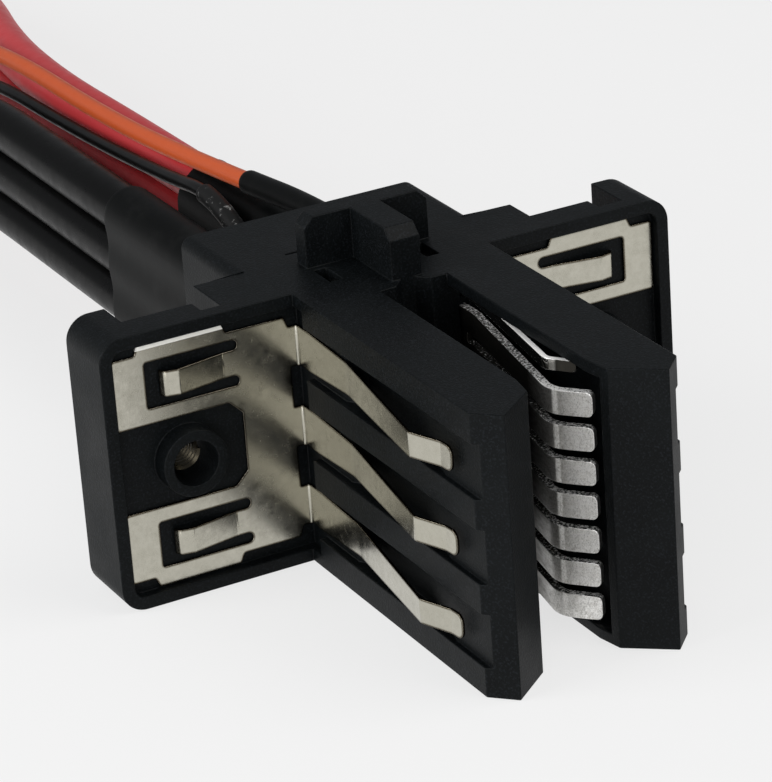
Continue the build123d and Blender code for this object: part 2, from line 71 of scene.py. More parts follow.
SLOT_HALF = 5.05 * MM
POCKET_OUTER = 9.25 * MM
POCKET_END = -33.55 * MM  # where the contact pockets end in the CAD
POCKET_LONGER = 2.0 * MM
POCKET_NEAR = 0.02 * MM  # a corner this near to the pocket's end belongs to it
LEAD_WIDTH = 1.0 * MM  # the lead-in faces' own corners lie this near to the slot
LEAD_SLOPE = 0.175  # how far the lead-in face moves outwards along its length
GRAIN_SIZE = 0.3 * MM  # the eroded grain is finer, and is drawn this coarse so that it shows
FLOW_SIZE = 9.0 * MM
SCUFF_SIZE = 2.2 * MM


def linear(hex_colour):
    """An sRGB hex colour as the linear values that shaders take."""
    parts = [int(hex_colour[i:i + 2], 16) / 255 for i in (1, 3, 5)]
    return tuple(c / 12.92 if c <= 0.04045 else ((c + 0.055) / 1.055) ** 2.4 for c in parts) + (1.0,)


def feed(tree, socket, source):
    """Sets a socket to a fixed value, or links it to another node's output."""
    if isinstance(source, bpy.types.NodeSocket):
        tree.links.new(source, socket)
    else:
        socket.default_value = source


def set_shader(shader, **sockets):
    """Feeds a shader's own sockets, which are named here with underscores for spaces."""
    for socket, source in sockets.items():
        feed(shader.id_data, shader.inputs[socket.replace("_", " ")], source)


def new_material(name, colour, roughness, **sockets):
    """A material with its principled shader set: the material, its node tree and the shader."""
    made = bpy.data.materials.new(name)
    made.use_nodes = True
    shader = made.node_tree.nodes["Principled BSDF"]
    set_shader(shader, Base_Color=linear(colour), Roughness=roughness, **sockets)
    return made, made.node_tree, shader


def put(tree, kind, sockets=None, **settings):
    """Adds a node, sets its properties and feeds its sockets."""
    made = tree.nodes.new(kind)
    for key, value in settings.items():
        setattr(made, key, value)
    for socket, source in (sockets or {}).items():
        feed(tree, made.inputs[socket], source)
    return made


def object_place(tree):
    """The place on the piece, in its own coordinates."""
    return put(tree, "ShaderNodeTexCoord").outputs["Object"]


def noise(tree, place, size, detail, roughness=0.5):
    """Noise whose grain is of one size."""
    sockets = {"Vector": place, "Scale": 1 / size, "Detail": detail, "Roughness": roughness}
    return put(tree, "ShaderNodeTexNoise", sockets).outputs["Fac"]


def mapped(tree, value, low, high, to_low=0.0, to_high=1.0):
    """A value between two limits, mapped to two others and held there."""
    sockets = {"Value": value, "From Min": low, "From Max": high, "To Min": to_low, "To Max": to_high}
    return put(tree, "ShaderNodeMapRange", sockets).outputs["Result"]


def clouded(tree, cloud, low, high):
    """The range that a noise mostly keeps to, mapped to two limits."""
    return mapped(tree, cloud, 0.3, 0.7, low, high)


def mixed(tree, share, first, second, **settings):
    """Two colours mixed, each a linear colour or another node's output."""
    sockets = {"Factor": share, "A": first, "B": second}
    return put(tree, "ShaderNodeMix", sockets, data_type="RGBA", **settings).outputs["Result"]


def ramp(tree, value, stops):
    """A colour ramp over a value, from pairs of a position and a linear colour."""
    made = put(tree, "ShaderNodeValToRGB", {"Fac": value})
    elements = made.color_ramp.elements
    elements.remove(elements[1])
    for i, (position, colour) in enumerate(stops):
        element = elements[0] if i == 0 else elements.new(position)
        element.position = position
        element.color = colour
    return made.outputs["Color"]


def bump(tree, height, strength, distance, **sockets):
    """The normal of a relief, from its height."""
    sockets = {"Height": height, "Strength": strength, "Distance": distance, **sockets}
    return put(tree, "ShaderNodeBump", sockets).outputs["Normal"]


def dress(piece, made):
    """Gives a piece one material."""
    piece.data.materials.clear()
    piece.data.materials.append(made)


def pick(piece):
    """Makes a piece the only one selected, and the active one."""
    bpy.ops.object.select_all(action="DESELECT")
    piece.select_set(True)
    bpy.context.view_layer.objects.active = piece


def open_mesh(piece):
    """Opens a piece's mesh for editing, with all of it selected."""
    pick(piece)
    bpy.ops.object.mode_set(mode="EDIT")
    bpy.ops.mesh.select_all(action="SELECT")


def close_mesh():
    """Leaves the mesh that is being edited."""
    bpy.ops.object.mode_set(mode="OBJECT")


def rounded(piece, edge, steps=2, sharpest=SHARPEST):
    """Rounds a piece's sharp edges, and keeps its flats flat under the shading."""
    pick(piece)
    bpy.ops.object.shade_smooth()
    rounding = piece.modifiers.new("edges", "BEVEL")
    rounding.width = edge
    rounding.segments = steps
    rounding.limit_method = "ANGLE"
    rounding.angle_limit = math.radians(sharpest)
    rounding.use_clamp_overlap = False
    rounding.loop_slide = False
    bpy.ops.object.modifier_apply(modifier=rounding.name)
    flats = piece.modifiers.new("flats", "WEIGHTED_NORMAL")
    flats.keep_sharp = True
    bpy.ops.object.modifier_apply(modifier=flats.name)


def merged(node, split=True):
    """A copy of a CAD node with its triangles merged into flat faces, concave ones split again."""
    piece = bpy.data.objects.new(node + "_finished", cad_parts[node].data.copy())
    bpy.context.scene.collection.objects.link(piece)
    open_mesh(piece)
    bpy.ops.mesh.remove_doubles(threshold=SAME_SPOT)
    bpy.ops.mesh.dissolve_limited(angle_limit=math.radians(FLAT_TURN))
    if split:
        bpy.ops.mesh.vert_connect_concave()
    close_mesh()
    return piece


def softened(node, edge, sharpest=SHARPEST, split=True):
    """A merged copy of a CAD node with its sharp edges rounded, standing in for the node."""
    piece = merged(node, split)
    rounded(piece, edge, sharpest=sharpest)
    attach(piece, "root")
    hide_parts(node)
    return piece


moulding, tree, shader = new_material("glass-filled polyester, moulded", HOUSING_BLACK, 0.5,
                                      Specular_IOR_Level=0.1)
place = object_place(tree)
flow = noise(tree, place, FLOW_SIZE, 4.0, 0.6)
tone = ramp(tree, flow, ((0.35, linear(HOUSING_BLACK)), (0.7, linear(HOUSING_GREY))))
scuffs = mapped(tree, noise(tree, place, SCUFF_SIZE, 6.0, 0.8), 0.72, 0.78)
marked = mixed(tree, scuffs, tone, linear(HOUSING_SCUFF))
grain = noise(tree, place, GRAIN_SIZE, 2.0)
grained = mixed(tree, mapped(tree, grain, 0.52, 0.7), marked, linear(HOUSING_POCK))
set_shader(shader, Base_Color=grained, Roughness=clouded(tree, flow, 0.44, 0.54),
           Normal=bump(tree, grain, 0.9, 0.05 * MM))

# The contact pockets run on nearer to the noses than in the CAD, on the same lead-in faces.
housing = merged("housing", split=False)
for vertex in housing.data.vertices:
    across = abs(vertex.co.x)
    if abs(vertex.co.y - POCKET_END) < POCKET_NEAR and SLOT_HALF < across < POCKET_OUTER:
        vertex.co.y -= POCKET_LONGER
        if across < SLOT_HALF + LEAD_WIDTH:
            vertex.co.x += math.copysign(POCKET_LONGER * LEAD_SLOPE, vertex.co.x)
open_mesh(housing)
bpy.ops.mesh.vert_connect_concave()
close_mesh()
rounded(housing, HOUSING_EDGE)
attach(housing, "root")
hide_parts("housing")
cover = softened("rear_cover", HOUSING_EDGE)
for moulded in (housing, cover):
    dress(moulded, moulding)

# Threaded inserts: turned steel, zinc plated and pressed into the bosses from behind. Each has a
# real M5 thread, which shows as bright rings in the dark bore.
BOSS_X = 32.0 * MM
LEVEL = 20.0 * MM  # middle of the housing's height
INSERT_FRONT = 12.45 * MM
INSERT_BACK = 20.85 * MM
INSERT_HEAD = 0.8 * MM
INSERT_RADIUS = 3.2 * MM
HEAD_RADIUS = 4.3 * MM
BORE_RADIUS = 2.5 * MM
BORE_CHAMFER = 0.3 * MM
THREAD_DEPTH = 0.4 * MM
THREAD_ROOT = 0.02 * MM  # the thread's base is sunk this far into the bore's wall
THREAD_NEAR = 0.05 * MM  # a face this near to the bore belongs to the tapped surface
THREAD_JOIN = 0.001 * MM  # doubled corners are merged within this
THREAD_TURN = 30  # degrees, so that the head and the thread keep crisp edges
PITCH = 0.8 * MM
RING_STEPS = 48
HELIX_STEPS = 32
ZINC = "#C2C0BA"
# the bore's dark colour is painted shade
BORE_SHADE = "#3A362D"
ZINC_SIZE = 1.5 * MM


def plated(name, colour, roughness, limits, size, detail):
    """A plated metal whose gloss is clouded in patches, between two limits of roughness."""
    made, tree, shader = new_material(name, colour, roughness, Metallic=1.0)
    set_shader(shader, Roughness=clouded(tree, noise(tree, object_place(tree), size, detail), *limits))
    return made


zinc = plated("zinc-plated steel, turned", ZINC, 0.32, (0.24, 0.42), ZINC_SIZE, 5.0)
# The tapped bore is painted dark, as painted shade deep in the boss, and only its thread crests shine.
tapped = plated("zinc-plated steel, tapped, with painted shade", BORE_SHADE, 0.26, (0.18, 0.34), ZINC_SIZE, 3.0)


def settle(piece):
    """Puts a piece's place into its mesh, so that its object sits at the origin."""
    pick(piece)
    bpy.ops.object.transform_apply(location=True, rotation=True, scale=True)


def profile(spots):
    """A closed outline through spots of radius and depth."""
    bpy.ops.object.select_all(action="DESELECT")
    bpy.ops.mesh.primitive_circle_add(vertices=len(spots), radius=MM)
    outline = bpy.context.active_object
    for vertex, (radius, depth) in zip(outline.data.vertices, spots):
        vertex.co = (radius, depth, 0.0)
    return outline


def wind(outline, steps, **settings):
    """Winds an outline round the Y axis, in a ring or a helix."""
    winding = outline.modifiers.new("winding", "SCREW")
    winding.axis = "Y"
    winding.steps = steps
    winding.render_steps = steps
    winding.use_normal_calculate = True
    for key, value in settings.items():
        setattr(winding, key, value)
    bpy.ops.object.modifier_apply(modifier=winding.name)


def threaded_insert(side, node):
    """One insert: a headed ring with a helical ridge inside it."""
    mouth = BORE_RADIUS + BORE_CHAMFER
    body = profile([
        (mouth, INSERT_FRONT), (INSERT_RADIUS, INSERT_FRONT),
        (INSERT_RADIUS, INSERT_BACK - INSERT_HEAD), (HEAD_RADIUS, INSERT_BACK - INSERT_HEAD),
        (HEAD_RADIUS, INSERT_BACK), (mouth, INSERT_BACK),
        (BORE_RADIUS, INSERT_BACK - BORE_CHAMFER), (BORE_RADIUS, INSERT_FRONT + BORE_CHAMFER),
    ])
    wind(body, RING_STEPS, use_merge_vertices=True)
    base = BORE_RADIUS + THREAD_ROOT
    crest = BORE_RADIUS - THREAD_DEPTH
    start = INSERT_FRONT + BORE_CHAMFER
    # the ridge fills 0.8 of the pitch at its base, and 0.2 at its crest
    ridge = profile([(base, start), (base, start + 0.8 * PITCH),
                     (crest, start + 0.5 * PITCH), (crest, start + 0.3 * PITCH)])
    turns = int((INSERT_BACK - INSERT_FRONT - 2 * BORE_CHAMFER) / PITCH) - 1
    wind(ridge, HELIX_STEPS, screw_offset=PITCH, iterations=turns)
    pick(body)
    ridge.select_set(True)
    bpy.ops.object.join()
    body.name = node + "_turned"
    body.location = (side * BOSS_X, 0.0, LEVEL)
    settle(body)
    open_mesh(body)
    bpy.ops.mesh.remove_doubles(threshold=THREAD_JOIN)
    bpy.ops.mesh.fill_holes(sides=4)
    bpy.ops.mesh.normals_make_consistent(inside=False)
    close_mesh()
    bpy.ops.object.shade_smooth_by_angle(angle=math.radians(THREAD_TURN))
    dress(body, zinc)
    body.data.materials.append(tapped)
    # faces in the bore take the dark material, which is painted shade
    for face in body.data.polygons:
        across = math.hypot(face.center.x - side * BOSS_X, face.center.z - LEVEL)
        face.material_index = int(across < BORE_RADIUS + THREAD_NEAR)
    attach(body, "root")
    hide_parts(node)


threaded_insert(-1, "threaded_insert_left")
threaded_insert(1, "threaded_insert_right")

# Cover screws: two slotted pan-head screws, zinc plated, that hold the rear cover to the
# housing's middle web.
SCREW_EDGE = 0.06 * MM
for node in ("cover_screw_lower", "cover_screw_upper"):
    screw = softened(node, SCREW_EDGE)
    dress(screw, zinc)

# Earthing springs: two mirror-image sheets of 0.4 mm rolled stainless steel, blanked and folded
# so that three long fingers run along each slot wall. The rolled faces mirror the wall softly,
# the cut edges are darker and brownish, partly their own brown and partly painted shade, the
# left tab's top edge is a painted highlight, and the folds catch the light.
SPRING_EDGE = 0.08 * MM
LIP = 0.7 * MM  # the brown is left off the sheet's top edge for this far down, where the edge catches the light
SHEET_FRONT = 11.05 * MM
ON_EDGE = 0.01 * MM  # the tab's top front edge is found within this
COINED = 0.22 * MM  # width of the small slope on the tab's top front edge
HIGHLIGHT_DEPTH = 0.74 * MM  # the painted highlight reaches this far down from the tab's top edge
# the white of the painted highlight
HIGHLIGHT_WHITE = "#FFFDF6"
HIGHLIGHT_METAL = 0.1  # the metallic share left under the painted highlight
STAIN_WIDTH = 0.36 * MM  # how far the stain reaches in from a blanked edge
STAIN = "#3E3423"
STEEL = "#C9C6BA"
STEEL_DULL = "#A9A698"
CUT_BROWN_AND_SHADE = "#5A5247"
ROLLING_SIZE = 0.35 * MM
MOTTLE_SIZE = 1.3 * MM


def maths(tree, operation, *terms):
    """One calculation on fixed values and other nodes' outputs."""
    return put(tree, "ShaderNodeMath", dict(enumerate(terms)), operation=operation).outputs["Value"]


def steepness(tree):
    """How far a face looks up or down, from 0 on an upright face to 1 on a level one."""
    facing = put(tree, "ShaderNodeNewGeometry").outputs["True Normal"]
    split = put(tree, "ShaderNodeSeparateXYZ", {"Vector": facing})
    return maths(tree, "ABSOLUTE", split.outputs["Z"])


stainless, tree, shader = new_material("stainless spring steel, rolled", STEEL, 0.24, Metallic=1.0)
place = object_place(tree)
spot = put(tree, "ShaderNodeSeparateXYZ", {"Vector": place}).outputs
drawn = put(tree, "ShaderNodeMapping", {"Vector": place, "Scale": (0.12, 0.12, 1.0)})
rolled = noise(tree, drawn.outputs["Vector"], ROLLING_SIZE, 3.0)
mottle = noise(tree, place, MOTTLE_SIZE, 6.0, 0.7)
tone = mixed(tree, mottle, linear(STEEL), linear(STEEL_DULL))
# The sheet looks along Y on the flange and along X on the fingers, so a face that looks up or
# down is a cut edge.
sheet_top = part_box("earthing_spring_left")[1][2]
# Cut edges below the top are painted brown: partly their own brown, partly painted shade in the cut-outs. The
# top edge, which catches the light, keeps the steel's tone.
under = maths(tree, "LESS_THAN", spot["Z"], sheet_top - LIP)
cut = maths(tree, "MULTIPLY", mapped(tree, steepness(tree), 0.5, 0.8), under)
edged = mixed(tree, cut, tone, linear(CUT_BROWN_AND_SHADE))
# Heat and etching leave a brown stain along every blanked edge.
inward = put(tree, "ShaderNodeAmbientOcclusion", {"Distance": STAIN_WIDTH}, samples=8, inside=True,
             only_local=True)
stained = mixed(tree, mapped(tree, inward.outputs["AO"], 0.97, 0.72), edged, linear(STAIN))
# The left tab's top edge is painted white, a painted highlight where it catches the light.
high = maths(tree, "GREATER_THAN", spot["Z"], sheet_top - HIGHLIGHT_DEPTH)
highlit = maths(tree, "MULTIPLY", high, maths(tree, "LESS_THAN", spot["X"], 0.0))
with_highlight = mixed(tree, highlit, stained, linear(HIGHLIGHT_WHITE))
set_shader(shader, Base_Color=with_highlight, Metallic=mapped(tree, highlit, 0.0, 1.0, 1.0, HIGHLIGHT_METAL),
           Roughness=clouded(tree, mottle, 0.17, 0.3), Normal=bump(tree, rolled, 0.06, 0.01 * MM))

for node in ("earthing_spring_left", "earthing_spring_right"):
    spring = merged(node, split=False)
    # the tab's top edge is coined to a small slope, which catches the light
    pick(spring)
    bpy.ops.object.mode_set(mode="EDIT")
    bpy.ops.mesh.select_all(action="DESELECT")
    bpy.ops.mesh.select_mode(type="EDGE")
    bpy.ops.object.mode_set(mode="OBJECT")
    for edge in spring.data.edges:
        ends = [spring.data.vertices[i].co for i in edge.vertices]
        edge.select = all(abs(end.z - sheet_top) < ON_EDGE and abs(end.y - SHEET_FRONT) < ON_EDGE
                          for end in ends)
    bpy.ops.object.mode_set(mode="EDIT")
    bpy.ops.mesh.bevel(offset=COINED, segments=1)
    bpy.ops.mesh.select_mode(type="VERT")
    bpy.ops.object.mode_set(mode="OBJECT")
    rounded(spring, SPRING_EDGE)
    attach(spring, "root")
    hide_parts(node)
    dress(spring, stainless)

# Power and sense contacts: combs of sprung fingers stamped from copper alloy and silver plated,
# one in each slot wall, with a polished, tin-plated sense contact above each. The bus bar scores
# the faces finely, and the sheared top edges are torn, with their sparkle painted as white and
# dark speckle. Painted shade darkens the fingers deep in the slot and the sense contacts' flats,
# and a painted highlight runs in front of each crest.
POWER_EDGE = 0.12 * MM
SENSE_EDGE = 0.06 * MM
SILVER = "#F6F5F2"
SILVER_WORN = "#D2D0CB"
# grey of the painted shade on the contacts
SHADE_GREY = "#4C4A46"
HAIRLINE = "#8C8A85"
TORN_DARK = "#24231F"
BRIGHT_FROM = -19.0 * MM  # the painted shade deep in the slot begins to lift here
BRIGHT_TO = -25.0 * MM  # and is gone from here to the fingers' tips
RAGGED = 3.0 * MM  # the scratches shift that change by up to this much
TORN_SHADE = 0.08  # how much the painted sparkle on the torn edges is dimmed, as painted shade, deep in the slot and on the lower fingers
LOWER_TOPS = 30.0 * MM  # the fingers under the topmost one lie below here, in each other's shade, which is painted on their torn edges
# A painted highlight runs just in front of each crest, between two stretches of painted shade.
CREST_LIGHT_AND_SHADE = (
    (-32.4 * MM, 1.0), (-30.6 * MM, 1.0), (-29.3 * MM, 0.78), (-28.8 * MM, 0.78),
    (-28.55 * MM, 1.0), (-28.1 * MM, 1.0), (-27.8 * MM, 0.65), (-26.0 * MM, 0.75),
)
CREST_HIGHLIGHT = ((-28.8 * MM, 0.0), (-28.55 * MM, 1.0), (-28.1 * MM, 1.0), (-27.8 * MM, 0.0))
LINE_FROST = 0.6  # how far the painted highlight scatters the light as frost does
HAIRLINE_SIZE = 0.16 * MM
HAIRLINE_STRETCH = 16.0
HAIRLINE_TURNS = (0.35, -0.7, 1.2)  # radians
SHEARED = (0.5, 0.7)  # a face that looks up or down by this much is a sheared edge
FROSTED = 0.08  # the metallic share left on a torn edge, whose frost scatters the light evenly
TIP_END = -32.4 * MM
SCRATCH_SIZE = 0.7 * MM
MATTE_SIZE = 0.25 * MM
SHEAR_SIZE = 0.35 * MM
SENSE_SHADE_FROM = -26.2 * MM  # the sense contact's flat is painted dark in front of its crest, as painted shade
SENSE_SHADE_TO = -26.5 * MM

plating, tree, shader = new_material("silver plate on stamped copper", SILVER, 0.45, Metallic=1.0)
place = object_place(tree)
spot = put(tree, "ShaderNodeSeparateXYZ", {"Vector": place}).outputs
slanted = put(tree, "ShaderNodeMapping",
              {"Vector": place, "Rotation": (0.5, 0.0, 0.4), "Scale": (1.0, 0.2, 1.0)})
scratch = noise(tree, slanted.outputs["Vector"], SCRATCH_SIZE, 4.0, 0.65)
matte = noise(tree, place, MATTE_SIZE, 3.0, 0.6)
marks = mapped(tree, maths(tree, "MULTIPLY", scratch, matte), 0.17, 0.36)
scored = mixed(tree, marks, linear(SILVER), linear(SILVER_WORN))
for turned in HAIRLINE_TURNS:
    laid = put(tree, "ShaderNodeMapping",
               {"Vector": place, "Rotation": (turned, 0.0, 0.0), "Scale": (1.0, 1.0, HAIRLINE_STRETCH)},
               vector_type="TEXTURE")
    hairs = noise(tree, laid.outputs["Vector"], HAIRLINE_SIZE, 1.0)
    scored = mixed(tree, mapped(tree, hairs, 0.6, 0.68, 0.0, 0.4), scored, linear(HAIRLINE))
along = mapped(tree, spot["Y"], TIP_END, BRIGHT_TO)


def banded(stops):
    """A ramp of grey levels along the fingers, from pairs of a depth and a level."""
    reach = BRIGHT_TO - TIP_END
    greys = [((depth - TIP_END) / reach, (level, level, level, 1.0)) for depth, level in stops]
    return ramp(tree, along, greys)


# painted highlight and painted shade in bands along each crest
crest_painted = mixed(tree, 1.0, scored, banded(CREST_LIGHT_AND_SHADE), blend_type="MULTIPLY")
ragged = maths(tree, "MULTIPLY_ADD", scratch, RAGGED, spot["Y"])
# Painted shade: the fingers are painted darker deep in the slot, towards their roots.
deep_in = mapped(tree, ragged, BRIGHT_TO, BRIGHT_FROM)
shaded_deep_in = mixed(tree, deep_in, crest_painted, linear(SHADE_GREY))
sheared = mapped(tree, steepness(tree), *SHEARED)
# The torn edges get a painted sparkle of white and dark speckle, dimmed by painted shade deep in the slot and
# on the lower fingers; the same noise also gives them a real relief.
torn = noise(tree, place, SHEAR_SIZE, 4.0, 0.7)
fewer = maths(tree, "MULTIPLY_ADD", deep_in, -TORN_SHADE, torn)
below = maths(tree, "LESS_THAN", spot["Z"], LOWER_TOPS)
fewest = maths(tree, "MULTIPLY_ADD", below, -TORN_SHADE, fewer)
painted_sparkle = ramp(tree, fewest, ((0.41, linear(TORN_DARK)), (0.46, linear(SILVER))))
frosty = maths(tree, "MAXIMUM", sheared, maths(tree, "MULTIPLY", banded(CREST_HIGHLIGHT), LINE_FROST))
fine = bump(tree, scratch, 0.3, 0.01 * MM)
set_shader(shader, Base_Color=mixed(tree, sheared, shaded_deep_in, painted_sparkle),
           Metallic=mapped(tree, frosty, 0.0, 1.0, 1.0, FROSTED),
           Roughness=mapped(tree, scratch, 0.35, 0.7, 0.4, 0.5),
           Normal=bump(tree, torn, sheared, 0.05 * MM, Normal=fine))

# The sense contacts' polish mirrors the dark wall, their flat in front of the crest is painted dark as
# painted shade, and only their torn edges are white.
polished, tree, shader = new_material("bright tin plate, polished", SILVER, 0.14, Metallic=1.0)
spot = put(tree, "ShaderNodeSeparateXYZ", {"Vector": object_place(tree)}).outputs
level_share = steepness(tree)
bright = mapped(tree, spot["Y"], SENSE_SHADE_TO, SENSE_SHADE_FROM)
shaded = mixed(tree, bright, linear(SHADE_GREY), linear(SILVER))
set_shader(shader, Base_Color=mixed(tree, mapped(tree, level_share, *SHEARED), shaded, linear(SILVER)),
           Metallic=mapped(tree, level_share, *SHEARED, 1.0, FROSTED),
           Roughness=mapped(tree, level_share, *SHEARED, 0.14, 0.6))

for side in ("left", "right"):
    power = softened(f"power_contact_{side}", POWER_EDGE, split=False)
    dress(power, plating)
    sense = softened(f"sense_contact_{side}", SENSE_EDGE)
    dress(sense, polished)

# Ring lugs: copper tube pressed flat at one end and punched, then tin plated, which gives a soft
# grey gloss. Each is crimped on the far end of a cable.
LUG_EDGE = 0.1 * MM
LUG_SHARPEST = 50  # degrees, so that the pressed neck stays as it is
TIN = "#CFCECB"
TIN_SIZE = 1.8 * MM
tin = plated("tin plate on copper tube", TIN, 0.36, (0.28, 0.46), TIN_SIZE, 5.0)
for colour in ("black", "red"):
    for i in (1, 2, 3):
        lug = softened(f"{colour}_lug_{i}", LUG_EDGE, sharpest=LUG_SHARPEST)
        dress(lug, tin)

# Shrunk tubes over the lugs: short lengths of black polyolefin tube, shrunk by heat over each
# crimp. They are matte, and a little scuffed where they were handled hot.
TUBE_EDGE = 0.15 * MM
SHRINK_BLACK = "#050606"
SHRINK_GREY = "#161616"
HANDLED_SIZE = 3.0 * MM
shrink, tree, shader = new_material("polyolefin tube, heat shrunk", SHRINK_BLACK, 0.48,
                                    Specular_IOR_Level=0.07)
handled = noise(tree, object_place(tree), HANDLED_SIZE, 5.0, 0.65)
set_shader(shader, Base_Color=ramp(tree, handled, ((0.5, linear(SHRINK_BLACK)), (0.9, linear(SHRINK_GREY)))),
           Normal=bump(tree, handled, 0.25, 0.05 * MM))
for colour in ("black", "red"):
    for i in (1, 2, 3):
        short_tube = softened(f"{colour}_lug_shrink_{i}", TUBE_EDGE)
        dress(short_tube, shrink)

# Power cables: three black and three red leads of fine copper strands under 7.4 mm silicone
# rubber, crimped in the contacts. They leave the sleeves in a level stack, then part and sag to
# the surface the connector lies on, where each one ends in its ring lug.
CABLE = 7.4 * MM
COVER_BACK = 40.65 * MM  # the cables leave the rear cover at this Y
CABLE_BLACK = "#060606"
CABLE_RED = "#C0363A"
STRAND_WAVE = 2.2 * MM
BLACK_LENGTHS = (0.2764, 0.2779, 0.2812)
RED_LENGTHS = (0.2943, 0.2958, 0.2990)
BLACK_ROUTES = (
    ((-0.0075, 0.03385, 0.0125), (-0.0075, 0.09385, 0.0125), (-0.0079, 0.15185, 0.0130),
     (-0.0090, 0.20785, 0.0062), (-0.0104, 0.25985, 0.0043), (-0.0110, 0.30985, 0.0043)),
    ((-0.0075, 0.03385, 0.0200), (-0.0075, 0.09385, 0.0200), (-0.0079, 0.15185, 0.0205),
     (-0.0182, 0.20785, 0.0132), (-0.0220, 0.25985, 0.0043), (-0.0240, 0.30985, 0.0043)),
    ((-0.0075, 0.03385, 0.0275), (-0.0075, 0.09385, 0.0275), (-0.0079, 0.15185, 0.0280),
     (-0.0274, 0.20785, 0.0202), (-0.0335, 0.25985, 0.0043), (-0.0370, 0.30985, 0.0043)),
)
RED_ROUTES = (
    ((0.0075, 0.03385, 0.0125), (0.0075, 0.09985, 0.0125), (0.0072, 0.16585, 0.0120),
     (0.0090, 0.22385, 0.0056), (0.0106, 0.27785, 0.0043), (0.0110, 0.32785, 0.0043)),
    ((0.0075, 0.03385, 0.0200), (0.0075, 0.09985, 0.0200), (0.0072, 0.16585, 0.0195),
     (0.0182, 0.22385, 0.0126), (0.0220, 0.27785, 0.0043), (0.0240, 0.32785, 0.0043)),
    ((0.0075, 0.03385, 0.0275), (0.0075, 0.09985, 0.0275), (0.0060, 0.15685, 0.0273),
     (0.0250, 0.22385, 0.0200), (0.0335, 0.27785, 0.0043), (0.0370, 0.32785, 0.0043)),
)


def lead(name, route, thickness, made):
    """A round lead along one smooth curve."""
    data = bpy.data.curves.new(name, "CURVE")
    data.dimensions = "3D"
    line = data.splines.new("NURBS")
    line.points.add(len(route) - 1)
    for point, spot in zip(line.points, route):
        point.co = (*spot, 1.0)
    line.order_u = 3
    line.use_endpoint_u = True
    line.resolution_u = 24
    data.bevel_depth = thickness / 2
    data.bevel_resolution = 10
    data.use_fill_caps = True
    piece = bpy.data.objects.new(name, data)
    bpy.context.scene.collection.objects.link(piece)
    piece.data.materials.append(made)
    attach(piece, "root")
    return piece


def insulation(name, colour, roughness, gloss):
    """Extruded insulation: an even colour, a soft gloss and a faint wave of the strands below."""
    made, tree, shader = new_material(name, colour, roughness, Specular_IOR_Level=gloss)
    wave = noise(tree, object_place(tree), STRAND_WAVE, 3.0)
    set_shader(shader, Roughness=clouded(tree, wave, roughness - 0.05, roughness + 0.08),
               Normal=bump(tree, wave, 0.2, 0.03 * MM))
    return made


black_silicone = insulation("black silicone rubber, extruded", CABLE_BLACK, 0.3, 0.07)
red_silicone = insulation("red silicone rubber, extruded", CABLE_RED, 0.42, 0.4)
for colour, made, routes, lengths in (
    ("black", black_silicone, BLACK_ROUTES, BLACK_LENGTHS),
    ("red", red_silicone, RED_ROUTES, RED_LENGTHS),
):
    for i, (route, length) in enumerate(zip(routes, lengths), 1):
        cable = lead(f"{colour}_lead_{i}", route, CABLE, made)
        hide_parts(f"{colour}_cable_{i}")

# Cable sleeves: wide polyolefin tube shrunk over each stack of three cables, from inside the
# rear cover. It draws in a little between the cables, and its cut end has a rounded lip.
SLEEVE_START = 34.85 * MM
BLACK_SLEEVE_END = 81.85 * MM
RED_SLEEVE_END = 88.85 * MM
SLEEVE_X = 7.5 * MM
SLEEVE_RADIUS = 4.35 * MM
SLEEVE_WALL = 0.6 * MM
SLEEVE_WAIST = 0.3 * MM
STACK_HALF = 7.5 * MM
SLEEVE_LIP = 0.2 * MM
CUT_SLANT = 4.0 * MM  # the red sleeve's cut end draws back this far over the top cable
SLEEVE_CORNERS = 64
SLEEVE_RUNS = (0.25, 0.25, 0.2, 0.15, 0.09, 0.04, 0.02)  # shares of its length, finer at the cut end
WAIST_CUTS = 20
LIP_STEPS = 3
LIP_SHARPEST = 50  # degrees, so that only a tube's cut ends are rounded


